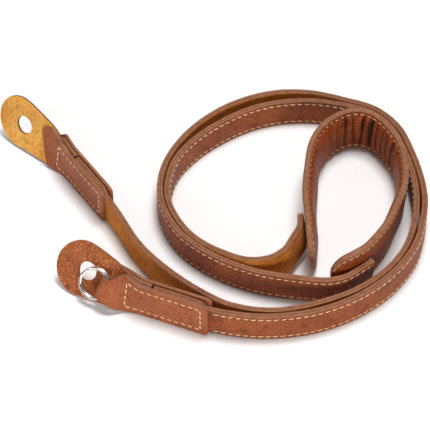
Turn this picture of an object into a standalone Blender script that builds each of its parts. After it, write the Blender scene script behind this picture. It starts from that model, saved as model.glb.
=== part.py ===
# Leather camera neck strap, wound in a loose oval coil and standing on its long edges.
# Metres, +Z up, the floor at z = 0, the origin under the middle of the whole strap.

import bpy
import bmesh
import math
import numpy as np
from mathutils import Matrix, Vector

# Driving dimensions
COIL_WIDTH = 0.105        # outer run of the coil, left to right
COIL_DEPTH = 0.120        # outer run of the coil, front to back
STRAP_WIDTH = 0.013
FACE_LEATHER = 0.0010     # grained face of the strap
BACK_LEATHER = 0.0010     # nubuck back of the strap
SEAM_GAP = 0.0003         # between two leathers that are sewn together
STRAND_GAP = 0.0004       # between neighbouring runs of the coil
SECTION_STEP = 0.0068     # length of one facet along the strap
PUSH_ROUNDS = 5           # how often a run is pushed off its neighbour
CURVE_POINTS = 24         # points that a smooth line gets between two rows of its table
EDGE_ROUND = 0.22         # rounding of a leather edge, share of the leather

PAD_WIDTH = 0.0225
PAD_EDGE = 0.0024         # thickness at the pad's sewn edges
PAD_CROWN = 0.0014        # filling's rise on the inner side
PAD_TIP = 0.0090          # length of each rounded tip
PAD_OVERLAP = 0.0165      # the strap's end lies this far onto the pad
PAD_SEWN = 0.0090         # length that is sewn flat to the pad
PAD_SEAM = 0.0004         # between the pad's flat face and a strap's end
PAD_STEP = 0.0045
PLEAT_DEPTH = 0.0009
PLEAT_HALF_WIDTH = 0.0013
STRAP_IN_TAB_LOW = 0.4    # height of the strap in a tab, share of the middle height
FADE_LENGTH = 0.050       # the strap comes back down to the floor over this length

TAB_WIDTH = 0.0165
TAB_LENGTH = 0.0365
TAB_LEATHER = 0.0010
TAB_CORNER = 0.0020
BACKING_LENGTH = 0.0430
BACKING_ROUND = 0.0035     # rounding of its free end
BACKING_SKEW = 0.0030      # its free end's top corner reaches further by this
STRAP_IN_TAB = 0.0238
TURN_START = 0.0270       # where an end begins to twist, from the tab's strap end
TURN_LENGTH = 0.0170
END_STEP = 0.0045         # length of one facet along an end
TWIST_STEP = 0.0015       # the same, where the end twists
SPINE_STEP = 0.0005       # spacing of the points that carry an end's own line

FLAP_LEATHER = 0.0010
FLAP_RADIUS = 0.0111      # round end of the lug protector
FLAP_NECK = 0.0152        # width of its neck
FLAP_REACH = 0.0226       # neck to the middle of the round end
FLAP_NECK_AT = 0.0336     # neck, from the tab's strap end
FLAP_TAIL = 0.0095        # sewn length inside the tab
HOLE_DIAMETER = 0.0075
HOLE_OFFSET = 0.0025      # hole centre, from the middle of the round end towards the neck
FLOOR_GAP = 0.0002

RING_DIAMETER = 0.0131
RING_WIRE = 0.0011
COIL_SPACE = 0.0001       # between the ring's two coils
RING_SIDES = 20           # facets in one turn
LOOP_WIDTH = 0.0090       # loop strip where it holds the ring
LOOP_DROP = 0.0019        # the narrowed loop sits below the tab's middle
LOOP_CLEARANCE = 0.0004
LOOP_REACH = 0.0442       # inside of the bend, from the tab's strap end

# Route of strap B, along its middle: east and north from the coil's centre, as shares of half its
# width and half its depth. It starts at tab B, goes once round and comes back along the front.
STRAP_B_ROUTE = [
    # east, north
    (-0.619, -0.982),
    (-0.337, -1.023),
    (-0.048, -1.013),
    (0.229, -0.952),
    (0.495, -0.828),
    (0.731, -0.642),
    (0.909, -0.388),
    (0.989, -0.058),
    (0.975, 0.175),
    (0.924, 0.392),
    (0.832, 0.632),
    (0.667, 0.805),
    (0.463, 0.887),
    (0.154, 0.967),
    (-0.133, 0.965),
    (-0.419, 0.875),
    (-0.667, 0.717),
    (-0.859, 0.510),
    (-0.977, 0.283),
    (-1.006, 0.052),
    (-0.945, -0.167),
    (-0.800, -0.367),
    (-0.554, -0.538),
    (-0.261, -0.655),
    (0.032, -0.715),
    (0.190, -0.735),
    (0.324, -0.727),
]

# Route of strap A, inside strap B: it starts at tab A and ends on the pad's left arm.
STRAP_A_ROUTE = [
    # east, north
    (-1.392, -0.025),
    (-1.293, -0.188),
    (-1.139, -0.432),
    (-0.920, -0.650),
    (-0.699, -0.812),
    (-0.482, -0.927),
    (-0.192, -0.975),
    (0.095, -0.930),
    (0.392, -0.825),
    (0.617, -0.692),
    (0.773, -0.542),
    (0.878, -0.302),
    (0.930, -0.037),
    (0.914, 0.233),
    (0.857, 0.492),
    (0.762, 0.683),
    (0.590, 0.808),
    (0.385, 0.857),
    (0.152, 0.890),
    (-0.084, 0.875),
    (-0.318, 0.810),
    (-0.552, 0.683),
    (-0.752, 0.522),
    (-0.899, 0.325),
    (-0.954, 0.092),
    (-0.930, -0.083),
    (-0.810, -0.302),
    (-0.629, -0.455),
    (-0.400, -0.570),
    (-0.294, -0.584),
    (-0.192, -0.575),
    (-0.100, -0.534),
    (-0.024, -0.470),
]

# Route of the neck pad, from its right tip over the back to its left tip. The lean is in degrees,
# positive where the pad's top edge leans out of its own loop.
PAD_ROUTE = [
    # east, north, lean
    (0.258, -0.655, 4.0),
    (0.381, -0.632, 4.0),
    (0.457, -0.592, 4.0),
    (0.539, -0.525, 4.0),
    (0.674, -0.347, 4.0),
    (0.762, -0.158, 4.0),
    (0.823, 0.000, 3.0),
    (0.836, 0.175, 2.0),
    (0.808, 0.358, 1.0),
    (0.705, 0.542, 0.0),
    (0.596, 0.632, 0.0),
    (0.482, 0.652, 0.0),
    (0.370, 0.615, 0.0),
    (0.242, 0.508, 2.0),
    (0.160, 0.342, 5.0),
    (0.131, 0.125, 8.0),
    (0.114, -0.092, 9.0),
    (0.124, -0.325, 8.0),
    (0.126, -0.525, 7.0),
]

# Creases pressed into the pad's inner face where it bends: place along the pad as a share of its
# length, and depth as a share of PLEAT_DEPTH.
PLEATS = [
    # place, depth
    (0.400, 0.35),
    (0.424, 0.60),
    (0.449, 0.45),
    (0.470, 0.90),
    (0.492, 0.75),
    (0.515, 1.00),
    (0.539, 1.00),
    (0.562, 0.80),
    (0.585, 0.90),
    (0.611, 0.55),
    (0.640, 0.40),
]

# Half section of the pad: height as a share of its half width, outer and inner face as shares of
# half its edge thickness, and the share of the crown that the inner face has there.
PAD_SECTION = [
    # height, face, crown
    (1.00, 0.50, 0.00),
    (0.95, 1.00, 0.00),
    (0.84, 0.95, 0.05),
    (0.62, 1.05, 0.70),
    (0.32, 1.10, 0.95),
    (0.00, 1.10, 1.00),
]

# The two ends: heading of the tab, outwards from its strap end, the swing and the lean that its
# free end takes, in degrees, and the side that the ring's loop lies on, seen along the heading.
# Then shares: of FLAP_REACH, of PAD_OVERLAP, and how high the strap's far end lies on the pad.
ENDS = {
    # heading, swing, lean, loop side, reach, overlap, rise
    "a": (124.0, 14.1, 19.6, 1.0, 1.06, 1.18, 0.34),
    "b": (157.6, -8.0, 35.0, -1.0, 0.945, 0.96, 0.17),
}

STRAP_THICKNESS = FACE_LEATHER + SEAM_GAP + BACK_LEATHER
PITCH = STRAP_THICKNESS + STRAND_GAP
TAB_LAYER = STRAP_THICKNESS / 2 + SEAM_GAP + TAB_LEATHER / 2
FLAP_LAYER = -STRAP_THICKNESS / 2 + FLAP_LEATHER / 2
RETURN_LAYER = FLAP_LAYER + FLAP_LEATHER / 2 + SEAM_GAP + TAB_LEATHER / 2
COIL_PITCH = RING_WIRE + COIL_SPACE
RING_RADIUS = (RING_DIAMETER - RING_WIRE) / 2
LOOP_RADIUS = (COIL_PITCH + RING_WIRE) / 2 + LOOP_CLEARANCE
RING_HOLE = RING_RADIUS - RING_WIRE / 2
RING_AT = LOOP_REACH - LOOP_CLEARANCE + math.sqrt(RING_HOLE ** 2 - (LOOP_WIDTH / 2) ** 2)


# Lines and bends

def spline(rows, step):
    """A smooth line through rows, resampled at equal steps of about the given length."""
    rows = np.array(rows, float)
    padded = np.vstack([2 * rows[0] - rows[1], rows, 2 * rows[-1] - rows[-2]])
    dense = []
    for i in range(1, len(padded) - 2):
        a, b, c, d = padded[i - 1:i + 3]
        for t in np.linspace(0, 1, CURVE_POINTS, endpoint=False):
            dense.append(0.5 * (2 * b + (c - a) * t + (2 * a - 5 * b + 4 * c - d) * t ** 2
                                + (3 * b - a - 3 * c + d) * t ** 3))
    dense.append(padded[-2])
    dense = np.array(dense)
    along = run_length(dense)
    count = max(2, round(along[-1] / step))
    return at_lengths(dense, along, np.linspace(0, along[-1], count + 1))


def run_length(line):
    steps = np.linalg.norm(np.diff(line[:, :2], axis=0), axis=1)
    return np.concatenate([[0], np.cumsum(steps)])


def at_lengths(line, along, wanted):
    return np.column_stack([np.interp(wanted, along, line[:, k]) for k in range(line.shape[1])])


def left_of(line):
    """Unit vectors square to a plan line, towards its left side."""
    heading = np.gradient(line[:, :2], axis=0)
    heading /= np.linalg.norm(heading, axis=1)[:, None]
    return np.column_stack([-heading[:, 1], heading[:, 0]])


def fade(t):
    """1 at 0 and below, 0 at 1 and above, smooth between."""
    t = np.clip(t, 0, 1)
    return 1 - t * t * (3 - 2 * t)


def keep_clear(line, wall, distance, side):
    """Push the points of a plan line off a wall line, to its left (side 1) or right (side -1)."""
    line = line.copy()
    normals = left_of(wall) * side
    for _ in range(PUSH_ROUNDS):
        shift = np.zeros((len(line), 2))
        for i, point in enumerate(line[:, :2]):
            nearest = np.argmin(np.linalg.norm(wall[:, :2] - point, axis=1))
            if nearest in (0, len(wall) - 1):
                continue
            away = np.dot(point - wall[nearest, :2], normals[nearest])
            if -distance < away < distance:
                shift[i] = normals[nearest] * (distance - away)
        shift[1:-1] = (shift[:-2] + 2 * shift[1:-1] + shift[2:]) / 4
        line[:, :2] += shift
    return line


def from_centre(rows):
    """Plan points in metres from a table of shares."""
    rows = np.array(rows, float)
    rows[:, 0] *= COIL_WIDTH / 2
    rows[:, 1] *= COIL_DEPTH / 2
    return rows


# The routes

def pad_line():
    line = spline(from_centre(PAD_ROUTE), PAD_STEP / 4)
    wall = spline(from_centre(STRAP_A_ROUTE[:-5]), PAD_STEP / 4)
    return keep_clear(line, wall, (STRAP_THICKNESS + PAD_EDGE) / 2 + STRAND_GAP * 2, 1)


def landing(name, pad, from_start):
    """Where a strap's end lies on the pad's outer face, from the free side to the strap's end."""
    along = run_length(pad)
    length = along[-1]
    overlap = PAD_OVERLAP * ENDS[name][5]
    wanted = np.array([overlap - PAD_SEWN, overlap - PAD_SEWN / 2, overlap])
    if not from_start:
        wanted = length - wanted
    out = at_lengths(np.column_stack([pad[:, :2], -left_of(pad)]), along, wanted)
    lean = np.interp(wanted, along, pad[:, 2])
    widest = max(face for _, face, _ in PAD_SECTION)
    offset = PAD_EDGE / 2 * widest + PAD_SEAM + STRAP_THICKNESS / 2
    return out[:, :2] + out[:, 2:] * offset, float(lean.mean())


def strap_line(name, route, pad, from_start, wall):
    """Columns: east, north, lift of the lower edge, lean of the top towards the left."""
    ends, lean = landing(name, pad, from_start)
    plan = from_centre(route)
    heading = math.radians(ENDS[name][0])
    out = np.array([math.cos(heading), math.sin(heading)])
    inside = plan[0] + np.outer(np.linspace(STRAP_IN_TAB, STRAP_IN_TAB / 6, 4), out)
    line = spline(np.vstack([inside, plan, ends]), SECTION_STEP)
    if wall is not None:
        pushed = keep_clear(line, wall, PITCH, 1)[len(inside) + 1:-len(ends)]
        line = spline(np.vstack([inside, pushed, ends]), SECTION_STEP)
    along = run_length(line)
    to_pad = along[-1] - along
    tab_lift = (TAB_WIDTH - STRAP_WIDTH) / 2 * STRAP_IN_TAB_LOW
    pad_lift = (PAD_WIDTH - STRAP_WIDTH) * ENDS[name][6]
    lift = (tab_lift * fade((along - STRAP_IN_TAB) / (FADE_LENGTH / 2))
            + pad_lift * fade((to_pad - PAD_SEWN) / FADE_LENGTH))
    turn = -1 if from_start else 1
    lean = turn * lean * fade((to_pad - PAD_SEWN) / FADE_LENGTH)
    return np.column_stack([line, lift, lean])


# Meshes

def leather(name, colour, roughness, metallic=0.0):
    material = bpy.data.materials.new(name)
    material.use_nodes = True
    shader = material.node_tree.nodes["Principled BSDF"]
    shader.inputs["Base Color"].default_value = (*colour, 1)
    shader.inputs["Roughness"].default_value = roughness
    shader.inputs["Metallic"].default_value = metallic
    return material


def add_object(name, mesh, material, parent, collection):
    ob = bpy.data.objects.new(name, mesh)
    collection.objects.link(ob)
    if material is not None:
        mesh.materials.append(material)
    ob.parent = parent
    return ob


def grid_mesh(name, rows):
    """An open surface through rows of points, all of one length."""
    bm = bmesh.new()
    verts = [[bm.verts.new(p) for p in row] for row in rows]
    for first, second in zip(verts, verts[1:]):
        for k in range(len(first) - 1):
            bm.faces.new((first[k], first[k + 1], second[k + 1], second[k]))
    mesh = bpy.data.meshes.new(name)
    bm.to_mesh(mesh)
    bm.free()
    return mesh


def sheet(name, rows, thickness, material, parent, collection):
    """A leather sheet: an open surface with Solidify and a small Bevel."""
    ob = add_object(name, grid_mesh(name, rows), material, parent, collection)
    solid = ob.modifiers.new("thickness", "SOLIDIFY")
    solid.thickness = thickness
    solid.offset = 0
    solid.use_even_offset = True
    edge = ob.modifiers.new("edge", "BEVEL")
    edge.width = thickness * EDGE_ROUND
    edge.segments = 1
    edge.limit_method = "ANGLE"
    edge.angle_limit = math.radians(50)
    ob.data.shade_smooth()
    return ob


# Straps and pad

def strap_layer(name, line, layer, thickness, material, parent, collection):
    """One leather of a strap: its middle lies to the left of the line by the given layer."""
    side = left_of(line)
    rows = []
    for (east, north, lift, lean), (sx, sy) in zip(line, side):
        tilt = math.radians(lean)
        up = Vector((math.sin(tilt) * sx, math.sin(tilt) * sy, math.cos(tilt)))
        out = Vector((math.cos(tilt) * sx, math.cos(tilt) * sy, -math.sin(tilt)))
        low = abs(layer * math.sin(tilt)) + thickness / 2 * abs(math.sin(tilt))
        middle = Vector((east, north, lift + low + STRAP_WIDTH / 2 * math.cos(tilt)))
        middle = middle + out * layer
        rows.append([middle + up * STRAP_WIDTH / 2, middle - up * STRAP_WIDTH / 2])
    return sheet(name, rows, thickness, material, parent, collection)


def pad_stations(length):
    """Distances along the pad: even steps, closer over the tips and at each crease."""
    tip = [PAD_TIP * share for share in (0.03, 0.12, 0.3, 0.6)]
    even = list(np.linspace(PAD_TIP, length - PAD_TIP, round((length - 2 * PAD_TIP) / PAD_STEP)))
    creases = [place * length for place, _ in PLEATS]
    between = [(a + b) / 2 for a, b in zip(creases, creases[1:])]
    even = [s for s in even if s < creases[0] - PAD_STEP / 2 or s > creases[-1] + PAD_STEP / 2]
    return sorted(tip + [length - t for t in tip] + even + creases + between)


def pleat_at(along, length):
    """How far the inner face is pressed in at a place along the pad, in metres."""
    depth = 0.0
    for place, share in PLEATS:
        depth += share * math.exp(-((along - place * length) / PLEAT_HALF_WIDTH) ** 2)
    return PLEAT_DEPTH * min(depth, 1.0)


def neck_pad(pad, material, parent, collection):
    """The pad as a loft: one closed section at each station, joined by quads."""
    along = run_length(pad)
    length = along[-1]
    stations = np.array(pad_stations(length))
    line = at_lengths(np.column_stack([pad, -left_of(pad)]), along, stations)
    bm = bmesh.new()
    loops = []
    for distance, (east, north, lean, ox, oy) in zip(stations, line):
        to_tip = min(distance, length - distance)
        narrow = math.sqrt(1 - max(0.0, 1 - to_tip / PAD_TIP) ** 2)
        half = PAD_WIDTH / 2 * narrow
        plump = PAD_CROWN * min(1.0, to_tip / PAD_TIP)
        tilt = math.radians(lean)
        up = Vector((math.sin(tilt) * ox, math.sin(tilt) * oy, math.cos(tilt)))
        out = Vector((math.cos(tilt) * ox, math.cos(tilt) * oy, -math.sin(tilt)))
        crease = pleat_at(distance, length)
        outer = []
        inner = []
        for height, face, crown in PAD_SECTION:
            reach = face * PAD_EDGE / 2
            outer.append((height * half, reach))
            inner.append((height * half, -(reach + crown * (plump - crease))))
        lower_outer = [(-h, q) for h, q in reversed(outer[:-1])]
        lower_inner = [(-h, q) for h, q in reversed(inner[:-1])]
        section = outer + lower_outer + list(reversed(inner + lower_inner))
        middle = PAD_WIDTH / 2 * math.cos(tilt) + PAD_EDGE / 4 * abs(math.sin(tilt))
        centre = Vector((east, north, middle))
        loops.append([bm.verts.new(centre + up * h + out * q) for h, q in section])
    for first, second in zip(loops, loops[1:]):
        for k in range(len(first)):
            n = (k + 1) % len(first)
            bm.faces.new((first[k], first[n], second[n], second[k]))
    bm.faces.new(loops[0])
    bm.faces.new(list(reversed(loops[-1])))
    bmesh.ops.recalc_face_normals(bm, faces=bm.faces)
    mesh = bpy.data.meshes.new("neck_pad")
    bm.to_mesh(mesh)
    bm.free()
    mesh.shade_smooth()
    return add_object("neck_pad", mesh, material, parent, collection)


# The two ends

class EndFrame:
    """Turns flat places of an end into space: along the end, a layer's depth, and height."""

    def __init__(self, name, foot):
        heading, swing, lean, self.side, reach = ENDS[name][:5]
        self.disc_at = FLAP_NECK_AT + FLAP_REACH * reach
        self.along = np.arange(0, self.disc_at + FLAP_RADIUS * 1.5, SPINE_STEP)
        turn = 1 - fade((self.along - TURN_START) / TURN_LENGTH)
        yaw = np.radians(heading + swing * turn)
        self.lean = np.radians(lean) * turn
        climb = 1 - fade((self.along - TAB_LENGTH) / (self.disc_at - TAB_LENGTH))
        half = TAB_WIDTH / 2 + (FLAP_RADIUS - TAB_WIDTH / 2) * climb
        behind = TAB_LAYER + TAB_LEATHER / 2
        behind += (-FLAP_LAYER + FLAP_LEATHER / 2 - behind) * climb
        height = half * np.cos(self.lean) + behind * np.sin(self.lean) + FLOOR_GAP * climb
        plan = np.cumsum(np.column_stack([np.cos(yaw), np.sin(yaw)]), axis=0) * SPINE_STEP
        self.spine = np.column_stack([foot + plan, height])

    def axes(self, along):
        spine = [np.interp(along, self.along, self.spine[:, k]) for k in range(3)]
        ahead = [np.interp(along + SPINE_STEP, self.along, self.spine[:, k]) for k in range(3)]
        forward = (Vector(ahead) - Vector(spine)).normalized()
        right = forward.cross(Vector((0, 0, 1))).normalized()
        lean = float(np.interp(along, self.along, self.lean))
        up = right.cross(forward) * math.cos(lean) + right * math.sin(lean)
        return Vector(spine), forward, forward.cross(up) * self.side, up

    def place(self, along, depth, height):
        spine, _, out, up = self.axes(along)
        return spine + out * depth + up * height

    def matrix(self, along, depth, height):
        """Local X outwards along the end, Y up its face, Z out of the loop side's face."""
        _, forward, out, up = self.axes(along)
        turn = Matrix((forward, up * self.side, out)).transposed().to_4x4()
        return Matrix.Translation(self.place(along, depth, height)) @ turn


def corner(distance, radius):
    """How much a rounded corner takes off a half width, at a distance from the end."""
    if distance >= radius:
        return 0.0
    return radius - math.sqrt(radius ** 2 - (radius - distance) ** 2)


def end_rows(frame, places, depth):
    """Rows of points across an end's strip, from (along, half width) places."""
    return [[frame.place(along, depth, half * share) for share in (1, 0.5, 0, -0.5, -1)]
            for along, half in places]


def stops(start, end):
    """Places from start to end, closer together where an end twists."""
    turned = TURN_START + TURN_LENGTH
    marks = list(np.arange(0, TURN_START - END_STEP / 2, END_STEP))
    marks += list(np.arange(TURN_START, turned, TWIST_STEP))
    marks += list(np.arange(turned, max(turned, end), END_STEP * 0.7))
    inside = [m for m in marks if start + TWIST_STEP / 2 < m < end - TWIST_STEP / 2]
    return [start] + inside + [end]


def tab_backing(name, frame, material, parent, collection):
    """The backing: square at the strap's end, rounded and cut askew at its free end."""
    near_end = [0, 0.25 * TAB_CORNER]
    far_end = [BACKING_LENGTH - BACKING_ROUND * share for share in (0.5, 0.2, 0.05, 0)]
    rows = []
    for s in near_end + stops(TAB_CORNER, BACKING_LENGTH - BACKING_ROUND) + far_end:
        half = TAB_WIDTH / 2 - corner(s, TAB_CORNER) - corner(BACKING_LENGTH - s, BACKING_ROUND)
        skew = BACKING_SKEW * (1 - fade((s - TAB_LENGTH) / (BACKING_LENGTH - TAB_LENGTH)))
        rows.append([frame.place(s + skew * share, -TAB_LAYER, half * share)
                     for share in (1, 0.5, 0, -0.5, -1)])
    return sheet(name, rows, TAB_LEATHER, material, parent, collection)


def tab_loop(name, frame, material, parent, collection):
    """The strip that covers the tab, folds through the split ring and returns into the tab."""
    bend = LOOP_REACH - LOOP_RADIUS
    bulged = RING_AT - RING_DIAMETER / 2 - LOOP_CLEARANCE
    radius = LOOP_RADIUS + TAB_LEATHER / 2
    axis = RETURN_LAYER + radius
    narrow_from = TAB_LENGTH - TAB_CORNER
    rows = []

    def strip(along, layer, widest):
        slim = 1 - fade((along - narrow_from) / (bend - narrow_from))
        half = widest + (LOOP_WIDTH / 2 - widest) * slim
        middle = -LOOP_DROP * slim
        heights = [middle + half * share for share in (1, 0.5, 0, -0.5, -1)]
        return [frame.place(along, layer, h) for h in heights]

    for s in [0, 0.25 * TAB_CORNER] + stops(TAB_CORNER, narrow_from):
        rows.append(strip(s, TAB_LAYER, TAB_WIDTH / 2 - corner(s, TAB_CORNER)))
    for s in stops(narrow_from, bend)[1:-1]:
        rise = 1 - fade((s - narrow_from) / (bulged - narrow_from))
        rows.append(strip(s, TAB_LAYER + (axis + radius - TAB_LAYER) * rise, TAB_WIDTH / 2))
    for turn in np.linspace(90, -90, 9):
        angle = math.radians(turn)
        along = bend + radius * math.cos(angle)
        rows.append(strip(along, axis + radius * math.sin(angle), TAB_WIDTH / 2))
    for s in reversed(stops(FLAP_NECK_AT - FLAP_TAIL, bend)[:-1]):
        rows.append(strip(s, RETURN_LAYER, FLAP_NECK / 2))
    return sheet(name, rows, TAB_LEATHER, material, parent, collection)


def protector(name, frame, material, parent, collection, cutters):
    """The lug protector: a flap with a round end and a hole, its tail sewn into the tab."""
    to_disc = frame.disc_at - FLAP_NECK_AT
    reach = math.hypot(to_disc, FLAP_NECK / 2)
    touch = math.atan2(FLAP_NECK / 2, -to_disc) - math.acos(FLAP_RADIUS / reach)
    touch_at = frame.disc_at + FLAP_RADIUS * math.cos(touch)
    touch_half = FLAP_RADIUS * math.sin(touch)
    places = []
    for s in stops(FLAP_NECK_AT - FLAP_TAIL, touch_at):
        widening = max(0.0, (s - FLAP_NECK_AT) / (touch_at - FLAP_NECK_AT))
        places.append((s, FLAP_NECK / 2 + (touch_half - FLAP_NECK / 2) * widening))
    for angle in np.linspace(touch, math.radians(9), 12)[1:]:
        places.append((frame.disc_at + FLAP_RADIUS * math.cos(angle),
                       FLAP_RADIUS * math.sin(angle)))
    flap = add_object(name, grid_mesh(name, end_rows(frame, places, FLAP_LAYER)), material,
                      parent, collection)
    solid = flap.modifiers.new("thickness", "SOLIDIFY")
    solid.thickness = FLAP_LEATHER
    solid.offset = 0
    bpy.ops.mesh.primitive_cylinder_add(vertices=28, radius=HOLE_DIAMETER / 2,
                                        depth=FLAP_LEATHER * 8)
    punch = bpy.context.object
    punch.name = name + "_hole"
    punch.matrix_world = frame.matrix(frame.disc_at - HOLE_OFFSET, FLAP_LAYER, 0)
    punch.hide_render = True
    punch.display_type = "WIRE"
    for owner in punch.users_collection:
        owner.objects.unlink(punch)
    cutters.objects.link(punch)
    punch.parent = parent
    cut = flap.modifiers.new("hole", "BOOLEAN")
    cut.operation = "DIFFERENCE"
    cut.solver = "EXACT"
    cut.object = punch
    flap.data.shade_smooth()
    return flap


def split_ring(name, frame, material, parent, collection):
    """Two flat coils of one wire, with a single step between them at the open ends."""
    axis = RETURN_LAYER + LOOP_RADIUS + TAB_LEATHER / 2
    curve = bpy.data.curves.new(name, "CURVE")
    curve.dimensions = "3D"
    curve.bevel_depth = RING_WIRE / 2
    curve.bevel_resolution = 2
    curve.use_fill_caps = True
    wire = curve.splines.new("POLY")
    step = 360 / RING_SIDES
    angles = np.arange(1.5 * step, 720 - 1.5 * step + 0.1, step)
    wire.points.add(len(angles) - 1)
    for point, turn in zip(wire.points, angles):
        angle = math.radians(turn - 20)
        climb = 1 - float(fade((turn - 360 + 1.5 * step) / (3 * step)))
        point.co = (RING_RADIUS * math.cos(angle), RING_RADIUS * math.sin(angle),
                    COIL_PITCH * (climb - 0.5), 1)
    ob = bpy.data.objects.new(name, curve)
    collection.objects.link(ob)
    curve.materials.append(material)
    ob.matrix_world = frame.matrix(RING_AT, axis, -LOOP_DROP)
    ob.parent = parent
    return ob


# Assembly

def clear_scene():
    for ob in list(bpy.data.objects):
        bpy.data.objects.remove(ob, do_unlink=True)


def centre_on_floor(root, objects):
    """Move the whole strap so that the origin is under the middle of its bounding box."""
    bpy.context.view_layer.update()
    graph = bpy.context.evaluated_depsgraph_get()
    corners = []
    for ob in objects:
        evaluated = ob.evaluated_get(graph)
        mesh = evaluated.to_mesh()
        corners += [evaluated.matrix_world @ v.co for v in mesh.vertices]
        evaluated.to_mesh_clear()
    points = np.array([tuple(c) for c in corners])
    low = points.min(axis=0)
    high = points.max(axis=0)
    root.location = (-(low[0] + high[0]) / 2, -(low[1] + high[1]) / 2, -low[2])


def main():
    clear_scene()
    parts = bpy.data.collections.new("camera_neck_strap")
    cutters = bpy.data.collections.new("cutters")
    bpy.context.scene.collection.children.link(parts)
    bpy.context.scene.collection.children.link(cutters)
    root = bpy.data.objects.new("strap_root", None)
    parts.objects.link(root)

    grain = (0.36, 0.115, 0.045)
    nubuck = (0.44, 0.16, 0.035)
    suede = (0.72, 0.38, 0.10)
    nickel = (0.75, 0.74, 0.72)

    pad = pad_line()
    strap_b = strap_line("b", STRAP_B_ROUTE, pad, True, None)
    strap_a = strap_line("a", STRAP_A_ROUTE, pad, False, strap_b)
    face_layer = (STRAP_THICKNESS - FACE_LEATHER) / 2
    back_layer = (STRAP_THICKNESS - BACK_LEATHER) / 2
    strap_layer("strap_b_face", strap_b, -face_layer, FACE_LEATHER,
                leather("strap_b_face", grain, 0.55), root, parts)
    strap_layer("strap_b_back", strap_b, back_layer, BACK_LEATHER,
                leather("strap_b_back", nubuck, 0.85), root, parts)
    strap_layer("strap_a_face", strap_a, face_layer, FACE_LEATHER,
                leather("strap_a_face", grain, 0.55), root, parts)
    strap_layer("strap_a_back", strap_a, -back_layer, BACK_LEATHER,
                leather("strap_a_back", nubuck, 0.85), root, parts)
    neck_pad(pad, leather("neck_pad", grain, 0.5), root, parts)

    for name, line in (("a", STRAP_A_ROUTE), ("b", STRAP_B_ROUTE)):
        frame = EndFrame(name, from_centre(line)[0])
        tab_backing(f"tab_{name}_backing", frame,
                    leather(f"tab_{name}_backing", grain, 0.6), root, parts)
        tab_loop(f"tab_{name}_loop", frame,
                 leather(f"tab_{name}_loop", grain, 0.5), root, parts)
        protector(f"protector_{name}", frame,
                  leather(f"protector_{name}", suede, 0.9), root, parts, cutters)
        split_ring(f"split_ring_{name}", frame,
                   leather(f"split_ring_{name}", nickel, 0.2, 1.0), root, parts)

    centre_on_floor(root, [ob for ob in parts.objects if ob.type != "EMPTY"])


main()
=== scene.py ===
# Leather camera neck strap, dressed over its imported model: leathers, stitches, pad, rings.
# Metres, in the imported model's frame. Sizes and routes repeat the part's own source, but for
# LANDING and the last row of STRAP_A_ROUTE: with these the visible strap A meets the pad nearer
# the pad's end.

import bpy
import math
import numpy as np
from mathutils import Matrix, Vector


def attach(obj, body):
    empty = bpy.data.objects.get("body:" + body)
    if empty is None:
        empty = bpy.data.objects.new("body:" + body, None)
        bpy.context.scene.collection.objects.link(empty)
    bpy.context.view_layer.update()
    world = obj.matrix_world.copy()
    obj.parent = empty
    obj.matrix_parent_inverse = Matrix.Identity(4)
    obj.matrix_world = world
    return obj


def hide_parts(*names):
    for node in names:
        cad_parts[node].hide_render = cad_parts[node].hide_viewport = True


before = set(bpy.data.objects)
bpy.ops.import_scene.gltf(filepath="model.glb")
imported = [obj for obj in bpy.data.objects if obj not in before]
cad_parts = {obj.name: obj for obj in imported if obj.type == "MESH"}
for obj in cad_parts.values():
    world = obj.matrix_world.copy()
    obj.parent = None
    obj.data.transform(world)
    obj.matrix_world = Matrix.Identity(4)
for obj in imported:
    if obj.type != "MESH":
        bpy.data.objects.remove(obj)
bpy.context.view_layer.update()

# Place of the coil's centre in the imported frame
ROOT = Vector((0.0329227, 0.0014725, 0.000001))

# The part's own sizes
COIL_WIDTH = 0.105
COIL_DEPTH = 0.120
STRAP_WIDTH = 0.013
LEATHER = 0.0010
SEAM_GAP = 0.0003
STRAND_GAP = 0.0004
SECTION_STEP = 0.0068
PUSH_ROUNDS = 5
CURVE_POINTS = 24
PAD_WIDTH = 0.0225
PAD_EDGE = 0.0024
PAD_CROWN = 0.0014
PAD_TIP = 0.0090
PAD_OVERLAP = 0.0165
PAD_SEWN = 0.0090
PAD_SEAM = 0.0004
LANDING = [0.55, 0.28, 0.0]    # where a strap's last points lie, as shares of PAD_SEWN
PAD_STEP = 0.0045
STRAP_IN_TAB_LOW = 0.4
FADE_LENGTH = 0.050
TAB_WIDTH = 0.0165
TAB_LENGTH = 0.0365
TAB_CORNER = 0.0020
BACKING_LENGTH = 0.0430
BACKING_ROUND = 0.0035
BACKING_SKEW = 0.0030
STRAP_IN_TAB = 0.0238
TURN_START = 0.0270
TURN_LENGTH = 0.0170
SPINE_STEP = 0.0005
FLAP_RADIUS = 0.0111
FLAP_NECK = 0.0152
FLAP_REACH = 0.0226
FLAP_NECK_AT = 0.0336
FLAP_TAIL = 0.0095
HOLE_DIAMETER = 0.0075
HOLE_OFFSET = 0.0025
FLOOR_GAP = 0.0002
RING_DIAMETER = 0.0131
RING_WIRE = 0.0011
COIL_SPACE = 0.0001
RING_SIDES = 20
LOOP_WIDTH = 0.0090
LOOP_DROP = 0.0019
LOOP_CLEARANCE = 0.0004
LOOP_REACH = 0.0442

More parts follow.
